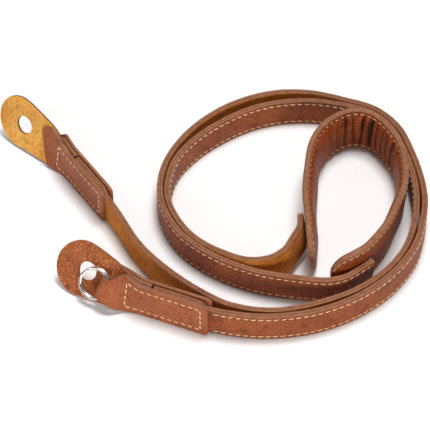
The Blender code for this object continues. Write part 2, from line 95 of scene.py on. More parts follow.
STRAP_B_ROUTE = [
    (-0.619, -0.982), (-0.337, -1.023), (-0.048, -1.013), (0.229, -0.952), (0.495, -0.828),
    (0.731, -0.642), (0.909, -0.388), (0.989, -0.058), (0.975, 0.175), (0.924, 0.392),
    (0.832, 0.632), (0.667, 0.805), (0.463, 0.887), (0.154, 0.967), (-0.133, 0.965),
    (-0.419, 0.875), (-0.667, 0.717), (-0.859, 0.510), (-0.977, 0.283), (-1.006, 0.052),
    (-0.945, -0.167), (-0.800, -0.367), (-0.554, -0.538), (-0.261, -0.655), (0.032, -0.715),
    (0.190, -0.735), (0.324, -0.727),
]
STRAP_A_ROUTE = [
    (-1.392, -0.025), (-1.293, -0.188), (-1.139, -0.432), (-0.920, -0.650), (-0.699, -0.812),
    (-0.482, -0.927), (-0.192, -0.975), (0.095, -0.930), (0.392, -0.825), (0.617, -0.692),
    (0.773, -0.542), (0.878, -0.302), (0.930, -0.037), (0.914, 0.233), (0.857, 0.492),
    (0.762, 0.683), (0.590, 0.808), (0.385, 0.857), (0.152, 0.890), (-0.084, 0.875),
    (-0.318, 0.810), (-0.552, 0.683), (-0.752, 0.522), (-0.899, 0.325), (-0.954, 0.092),
    (-0.930, -0.083), (-0.810, -0.302), (-0.629, -0.455), (-0.400, -0.570), (-0.294, -0.584),
    (-0.192, -0.575), (-0.100, -0.534), (-0.024, -0.470), (0.030, -0.395),
]
PAD_ROUTE = [
    (0.258, -0.655, 4.0), (0.381, -0.632, 4.0), (0.457, -0.592, 4.0), (0.539, -0.525, 4.0),
    (0.674, -0.347, 4.0), (0.762, -0.158, 4.0), (0.823, 0.000, 3.0), (0.836, 0.175, 2.0),
    (0.808, 0.358, 1.0), (0.705, 0.542, 0.0), (0.596, 0.632, 0.0), (0.482, 0.652, 0.0),
    (0.370, 0.615, 0.0), (0.242, 0.508, 2.0), (0.160, 0.342, 5.0), (0.131, 0.125, 8.0),
    (0.114, -0.092, 9.0), (0.124, -0.325, 8.0), (0.126, -0.525, 7.0),
]
PLEATS = [
    (0.400, 0.35), (0.424, 0.60), (0.449, 0.45), (0.470, 0.90), (0.492, 0.75), (0.515, 1.00),
    (0.539, 1.00), (0.562, 0.80), (0.585, 0.90), (0.611, 0.55), (0.640, 0.40),
]
ENDS = {
    "a": (124.0, 14.1, 19.6, 1.0, 1.06, 1.18, 0.34),
    "b": (157.6, -8.0, 35.0, -1.0, 0.945, 0.96, 0.17),
}

STRAP_THICKNESS = 2 * LEATHER + SEAM_GAP
PITCH = STRAP_THICKNESS + STRAND_GAP
TAB_LAYER = STRAP_THICKNESS / 2 + SEAM_GAP + LEATHER / 2
FLAP_LAYER = -STRAP_THICKNESS / 2 + LEATHER / 2
RETURN_LAYER = FLAP_LAYER + LEATHER / 2 + SEAM_GAP + LEATHER / 2
COIL_PITCH = RING_WIRE + COIL_SPACE
RING_RADIUS = (RING_DIAMETER - RING_WIRE) / 2
LOOP_RADIUS = (COIL_PITCH + RING_WIRE) / 2 + LOOP_CLEARANCE
RING_HOLE = RING_RADIUS - RING_WIRE / 2
RING_AT = LOOP_REACH - LOOP_CLEARANCE + math.sqrt(RING_HOLE ** 2 - (LOOP_WIDTH / 2) ** 2)

# Sizes of the finer model
FINE_STEP = 0.0007
STITCH_PITCH = 0.0029
STITCH_LENGTH = 0.0023
THREAD = 0.00054
RAISED_IN_TAB = 0.0021    # the strap's top edge reaches up to its tab's
STRAP_SEAM_IN = 0.0016    # seam, from the strap's edge
PAD_SEAM_IN = 0.0023      # seam, from the pad's edge
TAB_SEAM_HALF = 0.00565   # half height of the stitched rectangle on a tab
TAB_SEAM_FROM = 0.0030
TAB_SEAM_TO = 0.0340
CORNER_PLACES = [0, 0.0001, 0.00035, 0.0007, 0.0012]    # rows round a tab's corners
PLEAT_DEPTH = 0.00155     # of a full crease in the pad
PLEAT_LIMIT = 0.0015      # creases that meet go no deeper
PLEAT_SWELL = 0.00020     # rise beside a full crease
EDGE_BAND = 0.0035        # the pad's edge keeps its section over this width
NARROW_TIP = 0.0045       # half width under which the pad's whole section shrinks

# Points of the strap's section, counted from its top edge
ROUND_SIDES = 3           # painted sides on the rounded edge
EDGE_ROWS = 5             # points that follow the edge's waviness
SEAM_ROWS = (6, 7, 8)     # points that the stitches pull in
FACE_ROW = 10             # first point of the open face

# Points of the pad's section, counted from its top edge
PAD_ROLL_ROWS = 6         # points of the rolled edge
PAD_OUTER_ROWS = 14       # points of the outer face's upper half

# Camera
SENSOR = 36.0
FOCAL_PIXELS = 2500
PICTURE_PIXELS = 430


# Lines

def spline(rows, step):
    rows = np.array(rows, float)
    padded = np.vstack([2 * rows[0] - rows[1], rows, 2 * rows[-1] - rows[-2]])
    dense = []
    for i in range(1, len(padded) - 2):
        a, b, c, d = padded[i - 1:i + 3]
        for t in np.linspace(0, 1, CURVE_POINTS, endpoint=False):
            dense.append(0.5 * (2 * b + (c - a) * t + (2 * a - 5 * b + 4 * c - d) * t ** 2
                                + (3 * b - a - 3 * c + d) * t ** 3))
    dense.append(padded[-2])
    dense = np.array(dense)
    along = run_length(dense)
    count = max(2, round(along[-1] / step))
    return at_lengths(dense, along, np.linspace(0, along[-1], count + 1))


def run_length(line):
    steps = np.linalg.norm(np.diff(line[:, :2], axis=0), axis=1)
    return np.concatenate([[0], np.cumsum(steps)])


def at_lengths(line, along, wanted):
    return np.column_stack([np.interp(wanted, along, line[:, k]) for k in range(line.shape[1])])


def left_of(line):
    heading = np.gradient(line[:, :2], axis=0)
    heading /= np.linalg.norm(heading, axis=1)[:, None]
    return np.column_stack([-heading[:, 1], heading[:, 0]])


def fade(t):
    t = np.clip(t, 0, 1)
    return 1 - t * t * (3 - 2 * t)


def keep_clear(line, wall, distance, side):
    line = line.copy()
    normals = left_of(wall) * side
    for _ in range(PUSH_ROUNDS):
        shift = np.zeros((len(line), 2))
        for i, point in enumerate(line[:, :2]):
            nearest = np.argmin(np.linalg.norm(wall[:, :2] - point, axis=1))
            if nearest in (0, len(wall) - 1):
                continue
            away = np.dot(point - wall[nearest, :2], normals[nearest])
            if -distance < away < distance:
                shift[i] = normals[nearest] * (distance - away)
        shift[1:-1] = (shift[:-2] + 2 * shift[1:-1] + shift[2:]) / 4
        line[:, :2] += shift
    return line


def from_centre(rows):
    rows = np.array(rows, float)
    rows[:, 0] *= COIL_WIDTH / 2
    rows[:, 1] *= COIL_DEPTH / 2
    return rows


def pad_line():
    line = spline(from_centre(PAD_ROUTE), PAD_STEP / 4)
    # strap A without its last rows, which lie on the pad itself
    wall = spline(from_centre(STRAP_A_ROUTE[:-5]), PAD_STEP / 4)
    return keep_clear(line, wall, (STRAP_THICKNESS + PAD_EDGE) / 2 + STRAND_GAP * 2, 1)


def landing(name, pad, from_start):
    along = run_length(pad)
    length = along[-1]
    overlap = PAD_OVERLAP * ENDS[name][5]
    wanted = overlap - PAD_SEWN * np.array(LANDING)
    if not from_start:
        wanted = length - wanted
    out = at_lengths(np.column_stack([pad[:, :2], -left_of(pad)]), along, wanted)
    lean = np.interp(wanted, along, pad[:, 2])
    offset = PAD_EDGE / 2 * 1.10 + PAD_SEAM + STRAP_THICKNESS / 2
    return out[:, :2] + out[:, 2:] * offset, float(lean.mean())


def strap_line(name, route, pad, from_start, wall):
    ends, lean = landing(name, pad, from_start)
    plan = from_centre(route)
    heading = math.radians(ENDS[name][0])
    out = np.array([math.cos(heading), math.sin(heading)])
    inside = plan[0] + np.outer(np.linspace(STRAP_IN_TAB, STRAP_IN_TAB / 6, 4), out)
    line = spline(np.vstack([inside, plan, ends]), SECTION_STEP)
    if wall is not None:
        pushed = keep_clear(line, wall, PITCH, 1)[len(inside) + 1:-len(ends)]
        line = spline(np.vstack([inside, pushed, ends]), SECTION_STEP)
    along = run_length(line)
    to_pad = along[-1] - along
    tab_lift = (TAB_WIDTH - STRAP_WIDTH) / 2 * STRAP_IN_TAB_LOW
    pad_lift = (PAD_WIDTH - STRAP_WIDTH) * ENDS[name][6]
    lift = (tab_lift * fade((along - STRAP_IN_TAB) / (FADE_LENGTH / 2))
            + pad_lift * fade((to_pad - PAD_SEWN) / FADE_LENGTH))
    turn = -1 if from_start else 1
    lean = turn * lean * fade((to_pad - PAD_SEWN) / FADE_LENGTH)
    return np.column_stack([line, lift, lean])


# Materials

class Shader:
    """A node material with short calls for the nodes it uses."""

    def __init__(self, name, rough, metallic=0.0, sheen=0.0, specular=0.5):
        self.material = bpy.data.materials.new(name)
        self.material.use_nodes = True
        self.tree = self.material.node_tree
        self.shader = self.tree.nodes["Principled BSDF"]
        self.shader.inputs["Roughness"].default_value = rough
        self.shader.inputs["Metallic"].default_value = metallic
        self.shader.inputs["Sheen Weight"].default_value = sheen
        self.shader.inputs["Sheen Roughness"].default_value = 0.5
        self.shader.inputs["Specular IOR Level"].default_value = specular
        self.coords = self.tree.nodes.new("ShaderNodeTexCoord").outputs["Object"]

    def link(self, source, target):
        if isinstance(source, (int, float)):
            target.default_value = source
        elif isinstance(source, tuple):
            target.default_value = (*source, 1)
        else:
            self.tree.links.new(source, target)

    def noise(self, size, detail, rough=0.55):
        node = self.tree.nodes.new("ShaderNodeTexNoise")
        node.inputs["Scale"].default_value = 1 / size
        node.inputs["Detail"].default_value = detail
        node.inputs["Roughness"].default_value = rough
        self.link(self.coords, node.inputs["Vector"])
        return node.outputs["Fac"]

    def warped(self, size, amount):
        """Coordinates pushed about by noise, so that cells aren't round."""
        node = self.tree.nodes.new("ShaderNodeTexNoise")
        node.inputs["Scale"].default_value = 1 / size
        self.link(self.coords, node.inputs["Vector"])
        mix = self.tree.nodes.new("ShaderNodeVectorMath")
        mix.operation = "MULTIPLY_ADD"
        self.link(node.outputs["Color"], mix.inputs[0])
        mix.inputs[1].default_value = (amount, amount, amount)
        self.link(self.coords, mix.inputs[2])
        return mix.outputs["Vector"]

    def cells(self, size, vector):
        node = self.tree.nodes.new("ShaderNodeTexVoronoi")
        node.feature = "DISTANCE_TO_EDGE"
        node.inputs["Scale"].default_value = 1 / size
        self.link(vector, node.inputs["Vector"])
        return node.outputs["Distance"]

    def map(self, value, low, high, to_low=0.0, to_high=1.0):
        node = self.tree.nodes.new("ShaderNodeMapRange")
        node.interpolation_type = "SMOOTHSTEP"
        self.link(value, node.inputs["Value"])
        for key, number in (("From Min", low), ("From Max", high),
                            ("To Min", to_low), ("To Max", to_high)):
            node.inputs[key].default_value = number
        return node.outputs["Result"]

    def math(self, operation, a, b):
        node = self.tree.nodes.new("ShaderNodeMath")
        node.operation = operation
        self.link(a, node.inputs[0])
        self.link(b, node.inputs[1])
        return node.outputs["Value"]

    def mix(self, factor, a, b):
        node = self.tree.nodes.new("ShaderNodeMix")
        node.data_type = "RGBA"
        self.link(factor, node.inputs[0])
        self.link(a, node.inputs[6])
        self.link(b, node.inputs[7])
        return node.outputs[2]

    def attribute(self, name):
        node = self.tree.nodes.new("ShaderNodeAttribute")
        node.attribute_name = name
        return node.outputs["Fac"]

    def finish(self, colour, height=None, depth=0.0001, strength=0.6, rough=None):
        self.link(colour, self.shader.inputs["Base Color"])
        if rough is not None:
            self.link(rough, self.shader.inputs["Roughness"])
        if height is not None:
            bump = self.tree.nodes.new("ShaderNodeBump")
            bump.inputs["Strength"].default_value = strength
            bump.inputs["Distance"].default_value = depth
            self.link(height, bump.inputs["Height"])
            self.link(bump.outputs["Normal"], self.shader.inputs["Normal"])
        return self.material


def grain_leather(name, base, dark, light, cell, depth, rough, marks, lines):
    """Pebbled leather: raised cells with darker creases between, mottled, with painted shade where
    the mesh's shade attribute marks it (the pad's pleats, seam groove and lower inner face).
    """
    s = Shader(name, rough, specular=0.17)
    vector = s.warped(cell * 1.1, cell * 1.5)
    edge = s.cells(cell, vector)
    pebble = s.map(edge, 0.0, 0.32)
    fine = s.noise(cell * 0.28, 2.0)
    broad = s.noise(0.011, 3.0)
    mid = s.noise(0.0032, 3.0)
    colour = s.mix(s.map(broad, 0.35, 0.68), base, light)
    colour = s.mix(s.map(mid, 0.52, 0.74, 0.0, marks), colour, dark)
    colour = s.mix(s.map(edge, 0.0, 0.20, lines, 0.0), colour, dark)
    # painted shade: the shade attribute darkens the colour towards near black in the pad's pleats,
    # seam groove and lower inner face
    colour = s.mix(s.attribute("painted_shade"), colour, tuple(c * 0.30 for c in dark))
    height = s.math("ADD", pebble, s.math("MULTIPLY", fine, 0.35))
    shine = s.map(broad, 0.3, 0.7, rough - 0.06, rough + 0.08)
    return s.finish(colour, height, depth, 0.75, shine)


def smooth_leather(name, base, dark, light, rough):
    """Smooth finished leather with fine pores, for the tabs."""
    s = Shader(name, rough, specular=0.17)
    pores = s.noise(0.00042, 3.0, 0.7)
    broad = s.noise(0.008, 3.0)
    mid = s.noise(0.0016, 3.0)
    colour = s.mix(s.map(broad, 0.35, 0.68), base, light)
    colour = s.mix(s.map(mid, 0.50, 0.72, 0.0, 0.60), colour, dark)
    colour = s.mix(s.map(pores, 0.40, 0.60, 0.62, 0.0), colour, dark)
    return s.finish(colour, pores, 0.00022, 0.7, s.map(mid, 0.3, 0.7, rough - 0.05, rough + 0.07))


def napped(name, base, dark, light, speck, sheen, contrast):
    """Nubuck or suede: soft mottled nap with fine fibres."""
    s = Shader(name, 0.92, sheen=sheen, specular=0.1)
    fibre = s.noise(speck, 4.0, 0.7)
    blotch = s.noise(speck * 3.6, 3.0, 0.6)
    broad = s.noise(0.009, 3.0, 0.6)
    colour = s.mix(s.map(broad, 0.32, 0.70), base, light)
    colour = s.mix(s.map(blotch, 0.50, 0.72, 0.0, contrast), colour, dark)
    colour = s.mix(s.map(s.noise(0.022, 2.0), 0.50, 0.72, 0.0, contrast * 0.7), colour, dark)
    colour = s.mix(s.map(fibre, 0.36, 0.64, contrast, 0.0), colour, dark)
    return s.finish(colour, fibre, 0.00012, 0.55)


def painted_edge(name, base, dark, light):
    """A leather edge that was sanded and painted: smooth, with faint streaks."""
    s = Shader(name, 0.55, specular=0.17)
    streak = s.noise(0.0022, 4.0, 0.65)
    fine = s.noise(0.00045, 2.0)
    colour = s.mix(s.map(streak, 0.35, 0.68), base, light)
    colour = s.mix(s.map(fine, 0.52, 0.75, 0.0, 0.35), colour, dark)
    return s.finish(colour, fine, 0.00005, 0.35, s.map(streak, 0.3, 0.7, 0.46, 0.62))


def thread_material():
    s = Shader("waxed_thread", 0.6, sheen=0.15)
    ply = s.noise(0.00030, 2.0)
    broad = s.noise(0.006, 2.0)
    colour = s.mix(s.map(ply, 0.35, 0.65), (0.70, 0.44, 0.22), (0.96, 0.72, 0.45))
    colour = s.mix(s.map(broad, 0.45, 0.70, 0.0, 0.5), colour, (0.72, 0.43, 0.20))
    return s.finish(colour, ply, 0.00006, 0.6)


def nickel_material():
    s = Shader("polished_nickel", 0.28, metallic=1.0)
    haze = s.noise(0.0030, 3.0, 0.6)
    colour = s.mix(s.map(haze, 0.3, 0.7), (0.74, 0.73, 0.71), (0.86, 0.85, 0.83))
    return s.finish(colour, haze, 0.000004, 0.1, s.map(haze, 0.3, 0.7, 0.24, 0.32))


BROWN = grain_leather("grained_brown", (0.29, 0.068, 0.020), (0.09, 0.016, 0.004),
                      (0.39, 0.102, 0.032), 0.00150, 0.00040, 0.50, 0.60, 0.42)
PEBBLE = grain_leather("pebbled_brown", (0.46, 0.130, 0.040), (0.14, 0.027, 0.008),
                       (0.56, 0.172, 0.056), 0.00165, 0.00070, 0.52, 0.55, 0.55)
PAD_SKIN = grain_leather("pad_lining", (0.31, 0.060, 0.011), (0.09, 0.012, 0.002),
                         (0.39, 0.084, 0.016), 0.00140, 0.00024, 0.50, 0.65, 0.60)
TAB_SKIN = smooth_leather("tab_leather", (0.38, 0.108, 0.040), (0.13, 0.027, 0.009),
                          (0.47, 0.140, 0.054), 0.50)
NUBUCK = napped("nubuck_back", (0.62, 0.215, 0.032), (0.27, 0.070, 0.008),
                (0.76, 0.305, 0.048), 0.00045, 0.03, 0.75)
SUEDE = napped("golden_suede", (0.95, 0.49, 0.100), (0.50, 0.170, 0.022),
               (0.97, 0.60, 0.160), 0.00045, 0.04, 0.85)
EDGE = painted_edge("painted_edge", (0.25, 0.098, 0.047), (0.11, 0.034, 0.013),
                    (0.33, 0.142, 0.075))
DARK_EDGE = painted_edge("dark_edge", (0.15, 0.055, 0.022), (0.06, 0.018, 0.007),
                         (0.24, 0.100, 0.045))
RAW_END = napped("raw_cut", (0.50, 0.24, 0.08), (0.22, 0.08, 0.022),
                 (0.60, 0.32, 0.12), 0.00030, 0.03, 0.6)
THREAD_LOOK = thread_material()
NICKEL = nickel_material()


# Meshes

def new_piece(name, mesh, materials, slot, *nodes):
    ob = bpy.data.objects.new(name, mesh)
    bpy.context.scene.collection.objects.link(ob)
    for material in materials:
        mesh.materials.append(material)
    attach(ob, "root")
    if nodes:
        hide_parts(*nodes)
    return ob


def loft(name, loops, zones, painted_shade=None, cap_zone=0, raw_rows=0):
    """One closed tube of quads through equal loops of points. zones gives each side's material."""
    loops = np.array(loops)
    stations, around, _ = loops.shape
    verts = loops.reshape(-1, 3) + np.array(ROOT)
    i, j = np.meshgrid(np.arange(stations - 1), np.arange(around), indexing="ij")
    n = (j + 1) % around
    faces = np.stack([i * around + j, i * around + n,
                      (i + 1) * around + n, (i + 1) * around + j], axis=-1).reshape(-1, 4)
    faces = [tuple(f) for f in faces.tolist()]
    caps = []
    for row, flip in ((0, False), (stations - 1, True)):
        cap = list(range(row * around, row * around + around))
        caps.append(tuple(cap[::-1] if flip else cap))
    mesh = bpy.data.meshes.new(name)
    mesh.from_pydata([tuple(v) for v in verts.tolist()], [], faces + caps)
    indices = np.concatenate([np.tile(np.array(zones, np.int32), stations - 1),
                              np.full(2, cap_zone, np.int32)])
    if raw_rows:
        indices[-2 - raw_rows * around:] = cap_zone
    mesh.polygons.foreach_set("material_index", indices)
    smooth = np.ones(len(faces) + 2, bool)
    smooth[-2:] = False
    mesh.polygons.foreach_set("use_smooth", smooth)
    # painted shade: a point attribute of how far each point is darkened as shade
    if painted_shade is not None:
        layer = mesh.attributes.new("painted_shade", "FLOAT", "POINT")
        layer.data.foreach_set("value", np.array(painted_shade, np.float32).reshape(-1))
    outward(mesh)
    return mesh


def outward(mesh):
    """Turn the faces outwards if they all point in."""
    mesh.update()
    count = len(mesh.polygons)
    centres = np.zeros(count * 3)
    normals = np.zeros(count * 3)
    areas = np.zeros(count)
    mesh.polygons.foreach_get("center", centres)
    mesh.polygons.foreach_get("normal", normals)
    mesh.polygons.foreach_get("area", areas)
    volume = (centres.reshape(-1, 3) * normals.reshape(-1, 3)).sum(axis=1) @ areas
    if volume < 0:
        mesh.flip_normals()


def wobble(along, seed, size):
    """Smooth seeded waviness along a line, about -1 to 1."""
    rng = np.random.default_rng(seed)
    phases = rng.uniform(0, 2 * math.pi, 5)
    total = sum(np.sin(along / size * 2 * math.pi * k ** 0.8 + p) / k
                for k, p in enumerate(phases, 1))
    return total / 1.9


# Stitches

def stitches(name, rows, pitch=STITCH_PITCH, length=STITCH_LENGTH, thread=THREAD):
    """Every stitch of some seams as one mesh. A row holds points, normals and side vectors."""
    verts = []
    faces = []
    sides = 7
    profile = np.linspace(0, 1, 8)
    rng = np.random.default_rng(7)
    for points, normals, across in rows:
        points, normals, across = (
            np.array(column) for column in (points, normals, across))
        steps = np.linalg.norm(np.diff(points, axis=0), axis=1)
        along = np.concatenate([[0], np.cumsum(steps)])
        count = max(1, int(round(along[-1] / pitch)))
        spacing = along[-1] / count
        for k in range(count):
            middle = (k + 0.5) * spacing
            half = length / 2 * rng.uniform(0.93, 1.05)
            slant = thread * rng.uniform(0.10, 0.32)
            base = len(verts)
            for t in profile:
                s = middle + (t * 2 - 1) * half
                p = np.array([np.interp(s, along, points[:, c]) for c in range(3)])
                nrm = np.array([np.interp(s, along, normals[:, c]) for c in range(3)])
                side = np.array([np.interp(s, along, across[:, c]) for c in range(3)])
                swell = math.sin(math.pi * min(max(t, 0.02), 0.98)) ** 0.42
                rise = thread * (0.30 * math.sin(math.pi * t) - 0.22)
                centre = p + nrm * rise + side * slant * (t * 2 - 1)
                for q in range(sides):
                    angle = 2 * math.pi * q / sides
                    ring = (nrm * math.sin(angle) * 0.42 + side * math.cos(angle) * 0.5)
                    verts.append(tuple(centre + ring * thread * swell))
            for r in range(len(profile) - 1):
                for q in range(sides):
                    n = (q + 1) % sides
                    faces.append((base + r * sides + q, base + r * sides + n,
                                  base + (r + 1) * sides + n, base + (r + 1) * sides + q))
            faces.append(tuple(range(base + sides - 1, base - 1, -1)))
            last = base + (len(profile) - 1) * sides
            faces.append(tuple(range(last, last + sides)))
    mesh = bpy.data.meshes.new(name)
    offset = np.array(ROOT)
    mesh.from_pydata([tuple(v) for v in (np.array(verts) + offset).tolist()], [], faces)
    mesh.shade_smooth()
    new_piece(name, mesh, [THREAD_LOOK], "thread")


# Straps

def strap_section(seam_depth):
    """Half section from the top edge to the middle: height and depth of the outer face."""
    half = STRAP_WIDTH / 2
    outer = LEATHER / 2
    round_edge = 0.00036
    seam = half - STRAP_SEAM_IN
    rows = [(half, outer - round_edge)]
    for angle in (30, 60, 90):
        a = math.radians(angle)
        rows.append((half - round_edge * (1 - math.cos(a)),
                     outer - round_edge * (1 - math.sin(a))))
    rows += [
        (half - 0.00075, outer + 0.00003),
        (seam + 0.00042, outer + 0.00002),
        (seam + 0.00016, outer - seam_depth * 0.7),
        (seam, outer - seam_depth),
        (seam - 0.00016, outer - seam_depth * 0.7),
        (seam - 0.00045, outer + 0.00003),
        (seam - 0.0012, outer + 0.00008),
        (seam * 0.5, outer + 0.00011),
        (0.0, outer + 0.00012),
    ]
    return rows


def strap_piece(name, line, sign, node, material, slot, seam_depth, seed):
    """One leather of a strap as a fine loft; sign is the side of the line that it lies on."""
    fine = spline(line, FINE_STEP)
    along = run_length(fine)
    side = left_of(fine)
    top = strap_section(seam_depth)
    section = [(h, q, k) for k, (h, q) in enumerate(top)]
    section += [(-h, q, k) for k, (h, q) in reversed(list(enumerate(top[:-1])))]
    inner = -(LEATHER + SEAM_GAP) / 2 + 0.00001
    section += [(-STRAP_WIDTH / 2, inner, 0), (STRAP_WIDTH / 2, inner, 0)]
    face_sides = 2 * len(top) - 2
    zones = [int(k < ROUND_SIDES or k >= face_sides - ROUND_SIDES)
             for k in range(len(section))]
    layer = sign * (STRAP_THICKNESS - LEATHER) / 2
    edge_wave = wobble(along, seed, 0.021) * 0.00006
    face_wave = wobble(along, seed + 1, 0.034) * 0.00005
    loops = []
    seam_rows = {1: ([], [], []), -1: ([], [], [])}
    for (east, north, lift, lean), (sx, sy), s, wave, swell in zip(
            fine, side, along, edge_wave, face_wave):
        tilt = math.radians(lean)
        up = np.array([math.sin(tilt) * sx, math.sin(tilt) * sy, math.cos(tilt)])
        out = np.array([math.cos(tilt) * sx, math.cos(tilt) * sy, -math.sin(tilt)])
        low = abs(layer * math.sin(tilt)) + LEATHER / 2 * abs(math.sin(tilt))
        middle = np.array([east, north, lift + low + STRAP_WIDTH / 2 * math.cos(tilt)])
        middle = middle + out * layer
        pull = 0.62 + 0.38 * math.cos(2 * math.pi * s / STITCH_PITCH)
        raised = RAISED_IN_TAB * fade((s - STRAP_IN_TAB + 0.005) / 0.004)
        points = []
        for h, q, k in section:
            depth = q
            if k in SEAM_ROWS:
                depth = LEATHER / 2 + (q - LEATHER / 2) * pull
            elif k >= FACE_ROW:
                depth = q + swell
            height = h + (wave + raised if h > 0 else -wave * 0.3) * (k < EDGE_ROWS)
            points.append(middle + up * height + out * sign * depth)
        loops.append(points)
        for turn in (1, -1):
            seam = middle + up * turn * (STRAP_WIDTH / 2 - STRAP_SEAM_IN)
            rows = seam_rows[turn]
            rows[0].append(seam + out * sign * (LEATHER / 2 + 0.00002))
            rows[1].append(out * sign)
            rows[2].append(up)
    mesh = loft(name, loops, zones, cap_zone=2, raw_rows=1)
    new_piece(name, mesh, [material, EDGE, RAW_END], slot, node)
    return seam_rows, along


def trimmed(rows, along, start, end):
    """The part of a seam between two distances along its strap."""
    keep = (along > start) & (along < along[-1] - end)
    return tuple(np.array(r)[keep] for r in rows)


# Pad

def pad_section(half, plump):
    """Closed section, outer face first: each point's height, depth and painted shade."""
    roll = PAD_EDGE / 2
    edge = []
    for angle in (0, 18, 36, 54, 72, 90):
        a = math.radians(angle)
        edge.append((roll * 0.75 * (1 - math.cos(a)), roll * math.sin(a)))
    scale = min(1.0, half / (PAD_WIDTH / 2))
    seam = PAD_SEAM_IN
    # the third value of each row is painted shade, darker in the seam's groove
    flat = [
        (seam - 0.00045, roll + 0.00002, 0.0),
        (seam - 0.00018, roll - 0.00012, 0.3),
        (seam, roll - 0.00022, 0.45),
        (seam + 0.00018, roll - 0.00012, 0.3),
        (seam + 0.00050, roll + 0.00006, 0.0),
    ]
    outer = [(d, q, 0.0) for d, q in edge]
    outer += flat
    outer += [(0.0040, roll * 1.06, 0.0), (0.0065, roll * 1.10, 0.0), (0.0112, roll * 1.12, 0.0)]
    inner = [(d, q, 0.0) for d, q in edge[1:]]
    inner += flat
    for d, share in ((0.0034, 0.42), (0.0042, 0.68), (0.0053, 0.86), (0.0070, 0.96),
                     (0.0090, 1.0), (0.0112, 1.02)):
        inner.append((d, roll + PAD_CROWN * share * plump, 0.0))
    limit = PAD_WIDTH / 2

    def height(d):
        """Bands keep their width near the edge, and shrink only where the tip is narrow."""
        if half <= NARROW_TIP:
            return half * (1 - d / limit)
        if d < EDGE_BAND:
            return half - d
        return (half - EDGE_BAND) * (limit - d) / (limit - EDGE_BAND)

    top_outer = [(height(d), q * (0.8 + 0.2 * scale), m) for d, q, m in outer]
    top_inner = [(height(d), -q * (0.8 + 0.2 * scale), m) for d, q, m in inner]
    return (top_outer + [(-h, q, m) for h, q, m in reversed(top_outer[:-1])]
            + [(-h, q, m) for h, q, m in top_inner]
            + [(h, q, m) for h, q, m in reversed(top_inner[:-1])])


def pad_piece(pad):
    along = run_length(pad)
    length = along[-1]
    tips = np.array([0.0001, 0.0004, 0.0008, 0.0014, 0.0021, 0.0029, 0.0038, 0.0048, 0.0059,
                     0.007])
    stations = np.concatenate([tips, np.arange(0.008, length - 0.008, 0.0004),
                               length - tips[::-1]])
    smooth = spline(pad, 0.0003)
    smooth_along = run_length(smooth)
    smooth_along *= length / smooth_along[-1]
    data = np.column_stack([smooth, -left_of(smooth)])
    line = at_lengths(data, smooth_along, stations)
    rng = np.random.default_rng(11)
    pleats = [(place, share, rng.uniform(0.00060, 0.00105)) for place, share in PLEATS]
    pleats += [(rng.uniform(0.37, 0.66), rng.uniform(0.15, 0.40), 0.00045) for _ in range(18)]
    slants = rng.uniform(-0.0014, 0.0014, len(pleats))
    bends = rng.uniform(0, 2 * math.pi, len(pleats))
    loops = []
    # painted shade of every point: darker in the pleats, the seam groove and low on the inner face
    marks = []
    seams = {(face, turn): ([], [], []) for face in (1, -1) for turn in (1, -1)}
    for distance, (east, north, lean, ox, oy) in zip(stations, line):
        to_tip = min(distance, length - distance)
        narrow = math.sqrt(1 - max(0.0, 1 - to_tip / PAD_TIP) ** 2)
        half = PAD_WIDTH / 2 * narrow
        plump = min(1.0, to_tip / (PAD_TIP * 1.6))
        tilt = math.radians(lean)
        up = np.array([math.sin(tilt) * ox, math.sin(tilt) * oy, math.cos(tilt)])
        out = np.array([math.cos(tilt) * ox, math.cos(tilt) * oy, -math.sin(tilt)])
        middle = PAD_WIDTH / 2 * math.cos(tilt) + PAD_EDGE / 4 * abs(math.sin(tilt))
        centre = np.array([east, north, middle])
        points = []
        mark = []
        for h, q, m in pad_section(half, plump):
            press = 0.0
            if q < 0 and half > NARROW_TIP:
                inside = min(1.0, max(0.0, (half - abs(h) - PAD_SEAM_IN) / 0.0022))
                for (place, share, wide), slant, bend in zip(pleats, slants, bends):
                    at = place * length + slant * h / half
                    at += 0.0003 * math.sin(h / half * 3.1 + bend)
                    gap = distance - at
                    share *= 0.78 + 0.22 * math.sin(h / half * 1.9 + bend * 2)
                    press += share * math.exp(-(gap / wide) ** 2) * PLEAT_DEPTH
                    press -= share * math.exp(-((gap - 0.0019) / 0.0014) ** 2) * PLEAT_SWELL
                press = min(press, PLEAT_LIMIT) * inside
                # painted shade: darker where a pleat presses in
                m = max(m, min(1.0, max(0.0, press / 0.0009)) * 0.95)
                # painted shade: the inner face darker towards the bottom
                m = max(m, 0.30 * max(0.0, 0.2 - h / half))
            points.append(centre + up * h + out * (q + press))
            mark.append(m)
        loops.append(points)
        marks.append(mark)
        if half > PAD_SEAM_IN * 1.9:
            for face in (1, -1):
                for turn in (1, -1):
                    place = centre + up * turn * (half - PAD_SEAM_IN)
                    rows = seams[(face, turn)]
                    rows[0].append(place + out * face * (PAD_EDGE / 2 - 0.00012))
                    rows[1].append(out * face)
                    rows[2].append(up)
    count = len(loops[0])
    bottom = 2 * PAD_OUTER_ROWS - 2
    zones = [int(min(k, count - k, abs(k - bottom)) < PAD_ROLL_ROWS) for k in range(count)]
    mesh = loft("neck_pad_leather", loops, zones, marks, cap_zone=1)
    pad_ob = new_piece("neck_pad_leather", mesh, [PAD_SKIN, EDGE], "grain_leather", "neck_pad")
    return seams


# Ends

